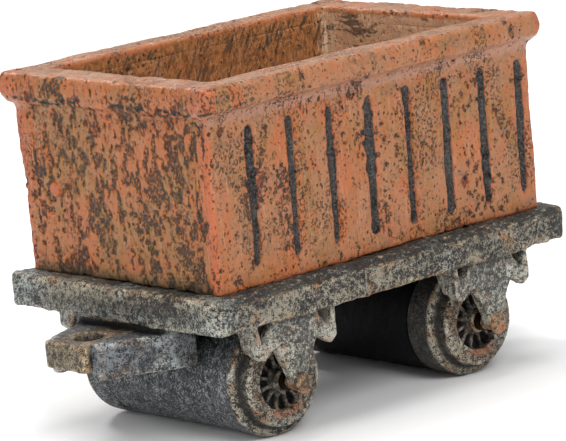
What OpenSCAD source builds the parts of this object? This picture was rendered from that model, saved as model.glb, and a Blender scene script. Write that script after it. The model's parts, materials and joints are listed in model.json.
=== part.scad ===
// Mine cart, model size. +X is the front, where the visible drawbar is, +Y the cart's left
// and +Z up. The origin is on the ground under the middle of the cart. Millimetres.

/* [Tub] */
// Length of the tub over its end panels
tub_l = 110; // [92:0.5:140]
// Width of the tub at its foot
tub_w = 72.6; // [66:0.1:90]
// Height of the tub from the deck to the top of the rim
tub_h = 51.6; // [42:0.1:64]
// How far each side panel leans out over the height of the tub
side_lean = 1.5; // [0:0.1:2.5]
// Thickness of a side panel at its foot
side_t = 5; // [4.5:0.1:6]
// Thickness of an end panel
end_t = 8; // [6:0.1:9]
// Thickness of the floor board
floor_t = 4; // [3.5:0.1:6]
// Diameter of the hidden dowels that hold the panels and the rim
dowel_d = 2; // [1.6:0.1:2.4]

/* [Grooves] */
// Distance from one groove to the next
groove_pitch = 13.2; // [9:0.1:13.4]
// Distance from the front edge of the panel to the first groove
groove_first = 13.6; // [8:0.1:14]
// Width of a groove
groove_w = 2.6; // [1.5:0.1:3.5]
// Depth of a groove
groove_d = 1.3; // [0.6:0.1:1.6]
// Plain strip under the grooves
groove_foot = 4.4; // [3:0.1:8]
// Plain strip between the grooves and the rim
groove_head = 2.4; // [1:0.1:5]

/* [Rim] */
// How far the rim stands out from the foot of a side panel
rim_over_side = 4.4; // [3.6:0.1:5]
// How far the rim stands out from an end panel
rim_over_end = 1.8; // [1.2:0.1:3]
// Height of the flat outer face of the rim
rim_face_h = 6; // [5:0.1:8]
// Thickness of the rim over the tops of the panels
rim_cap_t = 4; // [3.5:0.1:4.5]
// Radius of the rim's corners seen from above
rim_corner_r = 2.6; // [1:0.1:3.2]

/* [Deck] */
// How far the deck stands out past the tub at each end
deck_over_end = 5.5; // [4:0.1:8]
// How far the deck stands out past the tub at each side
deck_over_side = 5; // [4.5:0.1:6.5]
// Thickness of the deck
deck_t = 8.7; // [8:0.1:11]
// Width of the ring that the deck frame is made of
deck_ring_w = 16; // [15:0.1:18]
// Radius of the deck's corners seen from above
deck_corner_r = 3; // [1:0.1:4]
// Thickness of the plate let into the top of the deck
plate_t = 3; // [2:0.1:3.2]
// Width of each of the two sills under the plate
sill_w = 7; // [5:0.1:9]
// Distance between the middles of the sills
sill_gauge = 18; // [14:0.1:24]

/* [Wheels] */
// Radius of the flange, which the wheel stands on
flange_r = 14.6; // [12:0.1:18]
// Height of the flange over the tread
flange_h = 2.8; // [2:0.1:3.5]
// Width of the ring round the recess in the wheel's face
face_ring_w = 4.3; // [3:0.1:5]
// Depth of the recess
recess_d = 3.8; // [2.5:0.1:4.5]
// Number of spokes
spoke_n = 12; // [6:1:14]
// Width of a spoke
spoke_w = 1.1; // [0.8:0.1:1.3]
// Radius of the hub
hub_r = 3; // [2.6:0.1:4]
// Gap between a wheel's face and the guard in front of it
wheel_side_gap = 3.4; // [3:0.1:4.5]
// Distance from a wheel's face back to its flange
flange_set = 3.5; // [3:0.1:4.5]
// Width of the wheel's body behind its flange
wheel_body_w = 8.3; // [6:0.1:10]
// Distance from the end of the deck back to the axle
axle_set = 26.6; // [25:0.1:32]
// Gap between the top of the flange and the deck
wheel_gap = 2.8; // [1.5:0.1:5]
// Diameter of the axle
axle_d = 3.2; // [2.8:0.1:4]
// Diameter of the journal at each end of the axle
journal_d = 1.8; // [1.5:0.1:2.2]

/* [Axle guards] */
// How far the guard's outer face sits in from the side of the deck
guard_inset = 2.25; // [1.8:0.05:2.4]
// Thickness of the guard plate
guard_t = 3.2; // [2.4:0.1:3.4]
// Width of the guard over its two horns
guard_w = 26.6; // [24:0.1:30]
// How far the horns hang below the deck
horn_drop = 9.7; // [8:0.1:11]
// Height of the axle box nub
box_h = 5.6; // [5:0.1:6.4]
// Width of the axle box nub
box_w = 4.6; // [4.2:0.1:5.4]

/* [Drawgear] */
// Length of the tongue ahead of the deck
tongue_reach = 16.1; // [14:0.1:22]
// Width of the tongue's nose
nose_w = 16.8; // [14:0.1:18]
// Width of the tongue's shank
shank_w = 13.2; // [12:0.1:13.6]
// Thickness of the tongue
tongue_t = 7; // [5:0.1:7.4]
// Diameter of the hole for the coupling pin
pin_hole_d = 7.4; // [5:0.1:8]
// Distance from the tip of the nose to the middle of the pin hole
pin_hole_set = 8.6; // [7.6:0.1:9]
// Width of the draw casting where it meets the deck
root_w = 38; // [34:0.1:42]
// Height of the draw casting ahead of the deck
cast_h = 9.3; // [9.2:0.1:10]

/* [Hidden] */
$fn = 64;

// Radial clearance of pieces that are fixed in one another
seat_gap = 0.03;
// Radial clearance of the journals in their bushes
running_gap = 0.05;
// Extra reach of a cut past the face that it opens
over = 1;

// Heights
axle_z = flange_r;
deck_z = 2 * flange_r + wheel_gap;
deck_top = deck_z + deck_t;
rim_top = deck_top + tub_h;
panel_top = rim_top - rim_cap_t;
plate_z = deck_top - plate_t;

// Plan of the tub and deck
side_in = tub_w / 2 - side_t;
side_a = atan(side_lean / tub_h);
end_in = tub_l / 2 - end_t;
rim_y = tub_w / 2 + rim_over_side;
rim_x = tub_l / 2 + rim_over_end;
cove_top = rim_top - rim_face_h;
cove_side_r = rim_y - wall_y(cove_top);
cove_z = cove_top - cove_side_r;
deck_x = tub_l / 2 + deck_over_end;
deck_y = tub_w / 2 + deck_over_side;
ring_in_x = deck_x - deck_ring_w;
ring_in_y = deck_y - deck_ring_w;
// The plate's edge lies this far in from the foot of the tub
plate_set = 2;

// Dowels
dowel_r = dowel_d / 2;
dowel_bury = 4;
// How far a corner dowel goes into a side panel
dowel_side_bury = 2.6;
// Heights of the corner dowels, as shares of the height of a panel
corner_dowel_shares = [0.18, 0.5, 0.82];
corner_dowel_zs = [for (f = corner_dowel_shares) deck_top + f * (panel_top - deck_top)];
rim_dowel_up = 2.5;
// Distance from the end of the tub to the nearest dowel in the top of a side
rim_dowel_set = 15.4;
rim_dowel_xs = [rim_dowel_set - tub_l / 2, 0, tub_l / 2 - rim_dowel_set];
rim_dowel_y = side_in + side_t / 2 + side_lean / 2;
// Distance between the two dowels in the top of an end
rim_end_dowel_gauge = 29;
rim_end_dowel_x = end_in + end_t / 2;
rim_end_dowel_y = rim_end_dowel_gauge / 2;

// Running gear, from the side of the deck inwards
axle_x = deck_x - axle_set;
guard_y = deck_y - guard_inset;
guard_in_y = guard_y - guard_t;
face_y = guard_in_y - wheel_side_gap;

// Screws along Y that hold a guard's tab in the deck
tab_h = 4.2;
screw_r = 0.8;
screw_head_r = 1.5;
screw_head_t = 1.2;
screw_x = 6;
screw_z = deck_z + tab_h / 2;
// How deep a screw's head is sunk in the ring, and how far its point stops inside the guard
screw_sink = 0.8;
screw_cover = 0.8;
screw_head_y = ring_in_y + screw_head_t + screw_sink;
screw_end_y = guard_y - screw_cover;

// Bolts that hold the tub to the deck
bolt_r = 1.2;
bolt_head_r = 2.2;
bolt_head_t = 1.6;
bolt_recess = 2;
bolt_grip = 3.2;
// Share of the way from the middle of the cart to the guard screws
tub_bolt_share = 0.57;
// Metal between a bolt's head and the inner edge of the ring
tub_bolt_edge = 1.2;
tub_bolt_x = tub_bolt_share * (axle_x - screw_x);
tub_bolt_y = ring_in_y + bolt_head_r + tub_bolt_edge;

// Axle guards, X measured from the axle
horn_x = guard_w / 2;
horn_z = deck_z - horn_drop;
horn_bar = 1.2;
horn_tip_in = 2.3;
horn_chamfer = 1.7;
notch_x = 6.7;
notch_drop = 6.7;
notch_z = deck_z - notch_drop;
leg_knee_x = 2.7;
leg_knee_up = 2.4;
leg_knee_z = axle_z + leg_knee_up;
leg_x = box_w / 2;
window_x = 7.1;
window_tip_in = 2.3;
window_h = 5.8;
gusset_depth = 5.4;
gusset_foot = 1.8;
gusset_lift = 2;

// Axle boxes, bushes and journals
spigot_r = 1.9;
spigot_in = 1.5;
box_proud = 1.4;
bush_r = 1.45;
journal_r = journal_d / 2;
box_in_y = guard_in_y - spigot_in;
// A bush stops this far inside the guard's face, and the journal as far inside the bush
end_set = 0.4;
bush_end_y = guard_y - end_set;
journal_end_y = bush_end_y - end_set;

// Wheels
tread_r = flange_r - flange_h;
recess_r = tread_r - face_ring_w;
flange_y = face_y - flange_set;
back_y = flange_y - wheel_body_w;
hub_proud = 0.5;
hub_y = face_y + hub_proud;
web_y = face_y - recess_d;
spoke_set = 1.6;
spoke_top = face_y - spoke_set;
spoke_root = 0.2;
axle_r = axle_d / 2;
flange_edge = 0.5;
tread_fillet_r = 1.4;
face_edge_r = 0.9;
// The drum is a little smaller than the flange and stops a little short of the wheel
drum_step = 0.2;
drum_gap = 0.1;
drum_r = flange_r - drum_step;
drum_y = back_y - drum_gap;
washer_r = 2.4;
washer_gap = 0.1;
washer_t = box_in_y - hub_y - 3 * washer_gap;
drum_dowel_edge = 2.8;
drum_dowel_x = tread_r - drum_dowel_edge;
drum_dowel_bury = 4.5;

// Drawgear
// The drawgear lies this far under the deck's lower face
draw_drop = 2;
draw_top = deck_z - draw_drop;
cast_z = draw_top - cast_h;
tongue_z = draw_top - tongue_t;
nose_x = deck_x + tongue_reach;
nose_corner_r = 2.2;
nose_corner_a = 70;
nose_l = 3.4;
pin_hole_x = nose_x - pin_hole_set;
// The casting ends this far short of the drum
drum_clear = 1.8;
nose_gap = 0.1;
cheek_t = 3;
neck_out = 1.5;
root_in = 4.5;
roof_in = 3.5;
cast_front_x = nose_x - nose_l - nose_gap;
cast_front_w = shank_w + 2 * cheek_t;
cast_neck_x = deck_x + neck_out;
cast_neck_w = 28.6;
cast_root_x = deck_x - root_in;
cast_roof_x = deck_x - roof_in;
cast_back_x = axle_x + sqrt(pow(flange_r, 2) - pow(cast_z - axle_z, 2)) + drum_clear;
// Wall left behind the end of the shank
shank_end_wall = 1.5;
shank_end_x = cast_back_x + shank_end_wall;
draw_bolt_in = 6.5;
draw_bolt_gauge = 11.5;
draw_bolt_x = deck_x - draw_bolt_in;
draw_bolt_ys = [-draw_bolt_gauge, 0, draw_bolt_gauge];
draw_bolt_up = 4.5;

// Outer face of a side panel at height z
function wall_y(z) = tub_w / 2 + side_lean * (z - deck_top) / tub_h;

// Arc points about c, from angle a to angle b
function arc(c, r, a, b, n = 6) =
    [for (i = [0:n]) c + r * [cos(a + (b - a) * i / n), sin(a + (b - a) * i / n)]];

// Rectangle centred on the origin with rounded corners
module rounded_rect(l, w, r) {
    square([l - 2 * r, w], center = true);
    square([l, w - 2 * r], center = true);
    for (sx = [-1, 1], sy = [-1, 1])
        translate([sx * (l / 2 - r), sy * (w / 2 - r)]) circle(r);
}

// Extrudes a Y-Z outline along X, centred
module along_x(l) {
    rotate([90, 0, 90]) linear_extrude(l, center = true) children();
}

// Extrudes an X-Z outline along Y, from y0 to y1
module along_y(y0, y1) {
    translate([0, y1, 0]) rotate([90, 0, 0]) linear_extrude(y1 - y0) children();
}

// Cylinder along Y, from y0 to y1
module rod_y(x, z, r, y0, y1) {
    translate([x, y0, z]) rotate([-90, 0, 0]) cylinder(r = r, h = y1 - y0);
}

module at_front(front) {
    if (front) children(); else mirror([1, 0, 0]) children();
}

module at_left(left) {
    if (left) children(); else mirror([0, 1, 0]) children();
}

// ---- Tub ----

module corner_dowel_group(gap) {
    for (sx = [-1, 1], sy = [-1, 1], z = corner_dowel_zs)
        at_left(sy > 0) rod_y(sx * (tub_l - end_t) / 2, z, dowel_r + gap,
            side_in - dowel_bury - gap, side_in + dowel_side_bury + gap);
}

module rim_dowel_group(gap) {
    z = panel_top - dowel_bury - gap;
    h = dowel_bury + rim_dowel_up + 2 * gap;
    for (x = rim_dowel_xs, sy = [-1, 1])
        translate([x, sy * rim_dowel_y, z]) cylinder(r = dowel_r + gap, h = h);
    for (sx = [-1, 1], sy = [-1, 1])
        translate([sx * rim_end_dowel_x, sy * rim_end_dowel_y, z])
            cylinder(r = dowel_r + gap, h = h);
}

// One groove, cut into a face that lies in the X-Z plane and looks along +Y
module groove_cut(h) {
    rotate([90, 0, 0]) linear_extrude(2 * groove_d, center = true) {
        translate([-groove_w / 2, groove_w / 2]) square([groove_w, h - groove_w]);
        for (z = [groove_w / 2, h - groove_w / 2]) translate([0, z]) circle(groove_w / 2);
    }
}

module side_panel() {
    groove_h = cove_z - groove_head - groove_foot - deck_top;
    groove_n = 1 + floor((tub_l - groove_first - groove_w) / groove_pitch);
    color("chocolate") difference() {
        along_x(tub_l) polygon([[side_in, deck_top], [tub_w / 2, deck_top],
            [wall_y(panel_top), panel_top], [side_in, panel_top]]);
        translate([tub_l / 2 - groove_first, tub_w / 2, deck_top]) rotate([-side_a, 0, 0])
            for (i = [0:groove_n - 1])
                translate([-i * groove_pitch, 0, groove_foot]) groove_cut(groove_h);
        corner_dowel_group(seat_gap);
        rim_dowel_group(seat_gap);
    }
}

module end_panel() {
    color("sienna") difference() {
        translate([end_in, -side_in, deck_top])
            cube([end_t, 2 * side_in, panel_top - deck_top]);
        corner_dowel_group(seat_gap);
        rim_dowel_group(seat_gap);
    }
}

module tub_floor() {
    color("saddlebrown") difference() {
        translate([-end_in, -side_in, deck_top]) cube([2 * end_in, 2 * side_in, floor_t]);
        tub_bolt_group(seat_gap);
    }
}

module tub_rim() {
    color("peru") difference() {
        translate([0, 0, cove_z]) linear_extrude(rim_top - cove_z)
            rounded_rect(2 * rim_x, 2 * rim_y, rim_corner_r);
        // Room for the panels, which lean out
        along_x(tub_l) polygon([[-tub_w / 2, deck_top], [tub_w / 2, deck_top],
            [wall_y(panel_top), panel_top], [-wall_y(panel_top), panel_top]]);
        // Mouth of the tub
        translate([-end_in, -side_in, cove_z - over])
            cube([2 * end_in, 2 * side_in, rim_top - cove_z + 2 * over]);
        // Coves along the sides and the ends
        for (s = [-1, 1]) {
            translate([0, s * rim_y, cove_z]) rotate([0, 90, 0])
                cylinder(r = cove_side_r, h = 3 * rim_x, center = true);
            translate([s * rim_x, 0, cove_z]) rotate([90, 0, 0])
                cylinder(r = rim_over_end, h = 3 * rim_y, center = true);
        }
        rim_dowel_group(seat_gap);
    }
}

module corner_dowels() {
    color("burlywood") corner_dowel_group(0);
}

module rim_dowels() {
    color("burlywood") rim_dowel_group(0);
}

// ---- Deck ----

module tub_bolt_group(gap) {
    for (sx = [-1, 1], sy = [-1, 1]) translate([sx * tub_bolt_x, sy * tub_bolt_y, 0]) {
        translate([0, 0, deck_z + bolt_recess - bolt_head_t])
            cylinder(r = bolt_head_r, h = bolt_head_t, $fn = 6);
        translate([0, 0, deck_z + bolt_recess])
            cylinder(r = bolt_r + gap, h = deck_t - bolt_recess + bolt_grip + gap);
    }
}

module tub_bolts() {
    color("dimgray") tub_bolt_group(0);
}

module screw_at(x) {
    rod_y(x, screw_z, screw_head_r, screw_head_y - screw_head_t, screw_head_y);
    rod_y(x, screw_z, screw_r, screw_head_y, screw_end_y);
}

module guard_screws() {
    color("dimgray")
        for (sx = [-1, 1], sy = [-1, 1], dx = [-screw_x, screw_x])
            at_left(sy > 0) screw_at(sx * axle_x + dx);
}

module draw_bolt_holes(gap) {
    for (y = draw_bolt_ys)
        translate([draw_bolt_x, y, cast_z - over])
            cylinder(r = bolt_r + gap, h = deck_z + draw_bolt_up + gap - cast_z + over);
}

module deck_frame() {
    color("dimgray") difference() {
        translate([0, 0, deck_z]) linear_extrude(deck_t)
            rounded_rect(2 * deck_x, 2 * deck_y, deck_corner_r);
        translate([-ring_in_x, -ring_in_y, deck_z - over])
            cube([2 * ring_in_x, 2 * ring_in_y, deck_t + 2 * over]);
        deck_plate_box(over);
        for (front = [true, false]) at_front(front) {
            draw_bolt_holes(seat_gap);
            for (left = [true, false]) at_left(left) {
                // Slot for the guard's tab
                translate([axle_x - horn_x, guard_in_y, deck_z - over])
                    cube([guard_w, guard_t, tab_h + over]);
                for (dx = [-screw_x, screw_x]) {
                    rod_y(axle_x + dx, screw_z, screw_head_r + seat_gap,
                        ring_in_y - over, screw_head_y);
                    rod_y(axle_x + dx, screw_z, screw_r + seat_gap,
                        ring_in_y, screw_end_y + seat_gap);
                }
                translate([tub_bolt_x, tub_bolt_y, deck_z - over]) {
                    cylinder(r = bolt_r + seat_gap, h = deck_t + 2 * over);
                    cylinder(r = bolt_head_r + seat_gap, h = bolt_recess + over);
                }
            }
        }
    }
}

module deck_plate_box(up) {
    x = tub_l / 2 - plate_set;
    y = tub_w / 2 - plate_set;
    translate([-x, -y, plate_z]) cube([2 * x, 2 * y, plate_t + up]);
}

module deck_plate() {
    color("slategray") difference() {
        deck_plate_box(0);
        tub_bolt_group(seat_gap);
    }
}

module sill() {
    color("gray") translate([-ring_in_x, (sill_gauge - sill_w) / 2, deck_z])
        cube([2 * ring_in_x, sill_w, plate_z - deck_z]);
}

// ---- Drawgear, drawn for the front ----

// Channel in the casting for the tongue's shank, open below ahead of the neck
module tongue_way() {
    w = shank_w + 2 * seat_gap;
    translate([shank_end_x - seat_gap, -w / 2, tongue_z - seat_gap])
        cube([nose_x - shank_end_x, w, tongue_t + 2 * seat_gap]);
    translate([cast_neck_x, -w / 2, cast_z - over])
        cube([nose_x - cast_neck_x, w, tongue_z - cast_z + over]);
}

module draw_casting() {
    color("darkslategray") difference() {
        union() {
            translate([0, 0, cast_z]) linear_extrude(cast_h) polygon([
                [cast_root_x, -root_w / 2], [cast_neck_x, -cast_neck_w / 2],
                [cast_front_x, -cast_front_w / 2], [cast_front_x, cast_front_w / 2],
                [cast_neck_x, cast_neck_w / 2], [cast_root_x, root_w / 2]]);
            translate([cast_back_x, -root_w / 2, cast_z])
                cube([cast_roof_x - cast_back_x, root_w, deck_z - cast_z]);
        }
        tongue_way();
        draw_bolt_holes(seat_gap);
    }
}

module coupling_tongue() {
    corner_y = nose_w / 2 - nose_corner_r;
    color("rosybrown") difference() {
        translate([0, 0, tongue_z]) linear_extrude(tongue_t) {
            translate([shank_end_x, -shank_w / 2])
                square([nose_x - nose_l / 2 - shank_end_x, shank_w]);
            polygon(concat([[nose_x - nose_l, -shank_w / 2]],
                arc([nose_x - nose_corner_r, -corner_y], nose_corner_r, -nose_corner_a, 0),
                arc([nose_x - nose_corner_r, corner_y], nose_corner_r, 0, nose_corner_a),
                [[nose_x - nose_l, shank_w / 2]]));
        }
        translate([pin_hole_x, 0, tongue_z - over])
            cylinder(d = pin_hole_d, h = tongue_t + 2 * over);
        draw_bolt_holes(seat_gap);
    }
}

module draw_bolts() {
    color("dimgray") for (y = draw_bolt_ys) translate([draw_bolt_x, y, cast_z]) {
        translate([0, 0, -bolt_head_t]) cylinder(r = bolt_head_r, h = bolt_head_t, $fn = 6);
        cylinder(r = bolt_r, h = deck_z + draw_bolt_up - cast_z);
    }
}

// ---- Running gear, drawn for the front left ----

function guard_half() = [
    [horn_x, deck_z], [horn_x, horn_z + horn_chamfer], [horn_x - horn_tip_in, horn_z],
    [notch_x, notch_z], [leg_knee_x, leg_knee_z], [leg_x, axle_z]];

module guard_outline() {
    right = guard_half();
    left = [for (i = [len(right) - 1:-1:0]) [-right[i][0], right[i][1]]];
    difference() {
        polygon(concat(right, left));
        for (s = [-1, 1]) polygon([
            [s * window_x, deck_z], [s * (horn_x - horn_bar), deck_z],
            [s * (horn_x - window_tip_in), deck_z - window_h]]);
    }
}

// Rib that braces a horn back to the underside of the deck
module gusset() {
    along_x(horn_bar) polygon([
        [guard_in_y, deck_z], [guard_in_y - gusset_depth, deck_z],
        [guard_in_y - gusset_foot, horn_z + gusset_lift], [guard_in_y, horn_z + gusset_lift]]);
}

module axle_guard() {
    color("dimgray") translate([axle_x, 0, 0]) difference() {
        union() {
            along_y(guard_in_y, guard_y) guard_outline();
            translate([-horn_x, guard_in_y, deck_z]) cube([guard_w, guard_t, tab_h]);
            for (s = [-1, 1]) translate([s * (horn_x - horn_bar / 2), 0, 0]) gusset();
        }
        rod_y(0, axle_z, spigot_r + seat_gap, guard_in_y - over, guard_y + over);
        for (dx = [-screw_x, screw_x])
            rod_y(dx, screw_z, screw_r + seat_gap, guard_in_y - over, screw_end_y + seat_gap);
    }
}

module axle_box() {
    end = (box_h - box_w) / 2;
    color("rosybrown") translate([axle_x, 0, 0]) difference() {
        union() {
            rod_y(0, axle_z, spigot_r, box_in_y, guard_y);
            along_y(guard_y, guard_y + box_proud) translate([0, axle_z]) {
                square([box_w, 2 * end], center = true);
                for (s = [-1, 1]) translate([0, s * end]) circle(box_w / 2);
            }
        }
        rod_y(0, axle_z, bush_r + seat_gap, box_in_y - over, bush_end_y + seat_gap);
    }
}

module axle_bush() {
    color("goldenrod") translate([axle_x, 0, 0]) difference() {
        rod_y(0, axle_z, bush_r, box_in_y, bush_end_y);
        rod_y(0, axle_z, journal_r + running_gap, box_in_y - over, bush_end_y + over);
    }
}

// ---- Wheelsets, drawn for the front ----

function wheel_profile() = concat(
    [[axle_r + seat_gap, back_y], [flange_r - flange_edge, back_y],
        [flange_r, back_y + flange_edge], [flange_r, flange_y - flange_edge],
        [flange_r - flange_edge, flange_y]],
    arc([tread_r + tread_fillet_r, flange_y + tread_fillet_r], tread_fillet_r, 270, 180),
    arc([tread_r - face_edge_r, face_y - face_edge_r], face_edge_r, 0, 90),
    [[recess_r, face_y], [recess_r, web_y], [hub_r, web_y], [hub_r, hub_y],
        [axle_r + seat_gap, hub_y]]);

// Turns a shape round the Z axis into the wheel's place, outer face to +Y
module at_axle() {
    translate([axle_x, 0, axle_z]) rotate([-90, 0, 0]) children();
}

module wheel() {
    color("gray") difference() {
        at_axle() {
            rotate_extrude() polygon(wheel_profile());
            for (i = [0:spoke_n - 1]) rotate([0, 0, (i + 0.5) * 360 / spoke_n])
                translate([hub_r - spoke_root, -spoke_w / 2, web_y - spoke_root])
                    cube([recess_r - hub_r + 2 * spoke_root, spoke_w,
                        spoke_top - web_y + spoke_root]);
        }
        drum_dowel_group(seat_gap);
    }
}

module drum_dowel_group(gap) {
    for (dx = [-drum_dowel_x, drum_dowel_x], left = [true, false]) at_left(left)
        rod_y(axle_x + dx, axle_z, dowel_r + gap,
            drum_y - drum_dowel_bury - gap, back_y + drum_dowel_bury + gap);
}

module drum_dowels() {
    color("silver") drum_dowel_group(0);
}

module drum() {
    color("darkslategray") difference() {
        rod_y(axle_x, axle_z, drum_r, -drum_y, drum_y);
        rod_y(axle_x, axle_z, axle_r + seat_gap, -drum_y - over, drum_y + over);
        drum_dowel_group(seat_gap);
    }
}

module axle() {
    color("silver") {
        rod_y(axle_x, axle_z, axle_r, -hub_y, hub_y);
        rod_y(axle_x, axle_z, journal_r, -journal_end_y, journal_end_y);
    }
}

module thrust_washers() {
    color("goldenrod") for (left = [true, false]) at_left(left) difference() {
        rod_y(axle_x, axle_z, washer_r, hub_y + washer_gap, hub_y + washer_gap + washer_t);
        rod_y(axle_x, axle_z, journal_r + seat_gap, hub_y, box_in_y);
    }
}

side_panel();  // tub_side_left
at_left(false) side_panel();  // tub_side_right
end_panel();  // tub_end_front
at_front(false) end_panel();  // tub_end_rear
tub_floor();
tub_rim();
corner_dowels();
rim_dowels();
deck_frame();
deck_plate();
sill();  // sill_left
at_left(false) sill();  // sill_right
tub_bolts();
draw_casting();  // draw_casting_front
coupling_tongue();  // coupling_tongue_front
draw_bolts();  // draw_bolts_front
at_front(false) draw_casting();  // draw_casting_rear
at_front(false) coupling_tongue();  // coupling_tongue_rear
at_front(false) draw_bolts();  // draw_bolts_rear
axle_guard();  // axle_guard_front_left
at_left(false) axle_guard();  // axle_guard_front_right
at_front(false) axle_guard();  // axle_guard_rear_left
at_front(false) at_left(false) axle_guard();  // axle_guard_rear_right
axle_box();  // axle_box_front_left
at_left(false) axle_box();  // axle_box_front_right
at_front(false) axle_box();  // axle_box_rear_left
at_front(false) at_left(false) axle_box();  // axle_box_rear_right
axle_bush();  // axle_bush_front_left
at_left(false) axle_bush();  // axle_bush_front_right
at_front(false) axle_bush();  // axle_bush_rear_left
at_front(false) at_left(false) axle_bush();  // axle_bush_rear_right
guard_screws();
axle();  // axle_front
drum();  // drum_front
wheel();  // wheel_front_left
at_left(false) wheel();  // wheel_front_right
thrust_washers();  // thrust_washers_front
drum_dowels();  // drum_dowels_front
at_front(false) axle();  // axle_rear
at_front(false) drum();  // drum_rear
at_front(false) wheel();  // wheel_rear_left
at_front(false) at_left(false) wheel();  // wheel_rear_right
at_front(false) thrust_washers();  // thrust_washers_rear
at_front(false) drum_dowels();  // drum_dowels_rear
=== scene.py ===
import json
import math

import bpy
import numpy as np
import openvdb as vdb
from mathutils import Matrix, Vector


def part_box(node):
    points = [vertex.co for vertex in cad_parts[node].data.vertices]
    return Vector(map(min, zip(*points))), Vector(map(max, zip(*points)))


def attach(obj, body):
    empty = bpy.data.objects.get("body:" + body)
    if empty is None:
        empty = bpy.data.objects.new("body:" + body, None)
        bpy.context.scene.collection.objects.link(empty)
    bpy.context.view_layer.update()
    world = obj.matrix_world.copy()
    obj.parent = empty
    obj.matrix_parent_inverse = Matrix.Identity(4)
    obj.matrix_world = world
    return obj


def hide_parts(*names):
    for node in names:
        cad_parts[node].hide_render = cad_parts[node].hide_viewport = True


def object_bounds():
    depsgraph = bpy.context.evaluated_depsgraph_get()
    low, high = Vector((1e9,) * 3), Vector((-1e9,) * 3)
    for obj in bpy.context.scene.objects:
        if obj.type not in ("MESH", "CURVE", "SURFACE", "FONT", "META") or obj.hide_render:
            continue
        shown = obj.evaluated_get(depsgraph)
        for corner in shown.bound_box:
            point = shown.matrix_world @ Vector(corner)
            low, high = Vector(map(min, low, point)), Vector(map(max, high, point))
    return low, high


# A small cast, hand-painted mine cart. Shapes are worked out in millimetres and shown in metres.
# Each visible casting takes the shape of its CAD node, with worn edges, dents and pits.

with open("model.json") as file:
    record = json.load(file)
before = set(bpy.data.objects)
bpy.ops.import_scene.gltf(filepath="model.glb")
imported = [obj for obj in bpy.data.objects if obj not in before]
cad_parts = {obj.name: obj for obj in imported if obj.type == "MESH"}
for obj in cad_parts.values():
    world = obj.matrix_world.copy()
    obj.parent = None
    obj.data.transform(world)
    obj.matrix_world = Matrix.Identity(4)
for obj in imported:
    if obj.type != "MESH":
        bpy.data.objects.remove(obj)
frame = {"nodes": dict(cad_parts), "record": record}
CAD_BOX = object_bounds()
NODES = frame["nodes"]
BODIES = frame["record"]["behaviour"]["bodies"]
BODY_OF = {node: body for body, nodes in BODIES.items() for node in nodes}
SLOT_OF = {part["node"]: part["material_slot"] for part in frame["record"]["subparts"]}
MM = 1000.0

ENDS = ("front", "rear")
SIDES = ("left", "right")


def box_mm(node):
    """A CAD node's lowest and highest corners in millimetres."""
    lo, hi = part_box(node)
    return np.array(lo) * MM, np.array(hi) * MM


CAD_LO, CAD_HI = (np.array(corner) * MM for corner in CAD_BOX)
FLOOR_LO, FLOOR_HI = box_mm("tub_floor")
RIM_LO, RIM_HI = box_mm("tub_rim")
DECK_LO, DECK_HI = box_mm("deck_frame")
SIDE_HI = box_mm("tub_side_left")[1]
END_HI = box_mm("tub_end_front")[1]
# The wheel's recess, as a share of the flange's radius
RECESS_SHARE = 0.514
# The pin hole's radius, and its distance from the tongue's nose
PIN_R, PIN_SET = 3.7, 8.6
# The height of the rim's outer band
RIM_FACE = 6.0
# The rim's outward bulge: how far below the top it is widest, its half height, its depth along
# the edges, and how much deeper it is at the corners
BULGE_DOWN, BULGE_HALF, BULGE_DEPTH, CORNER_BULGE = 3.6, 3.0, 0.45, 0.9
# Depths of the flaked spots and of the scratched lines
FLAKE_DEPTH, SEAM_DEPTH = 0.42, 0.35
# A round lump on the front end of the tub: Y, height above the deck, and radius
KNOB_Y, KNOB_UP, KNOB_R = -24.0, 22.0, 2.0
# Lumps this long are even all along the axis
EVEN = 60
# The least and greatest radius of a bubble hole, on the tub and on the iron castings
TUB_BUBBLE, IRON_BUBBLE = (0.3, 0.55), (0.3, 0.5)
TUB_BUBBLES = 220
# The tub's layers of dents, with the size and height of their lumps
TUB_DENTS = ((15, 0.6), ((6, 6, 9), 0.34), (2.4, 0.22), (1.1, 0.14))
# How far the tub's panels run into one another, so that no light shows between them
TUB_OVERLAP = 0.2


# ---- Sampled solids ----

def smooth(value, low, high):
    """0 below low, 1 above high and a smooth rise between."""
    t = np.clip((value - low) / (high - low), 0, 1)
    return t * t * (3 - 2 * t)


def triangles_of(node):
    """A CAD node's points in millimetres, and its triangles."""
    mesh = NODES[node].data
    mesh.calc_loop_triangles()
    points = np.empty(len(mesh.vertices) * 3, np.float32)
    mesh.vertices.foreach_get("co", points)
    corners = np.empty(len(mesh.loop_triangles) * 3, np.int32)
    mesh.loop_triangles.foreach_get("vertices", corners)
    return points.reshape(-1, 3) * MM, corners.reshape(-1, 3).astype(np.uint32)


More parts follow.
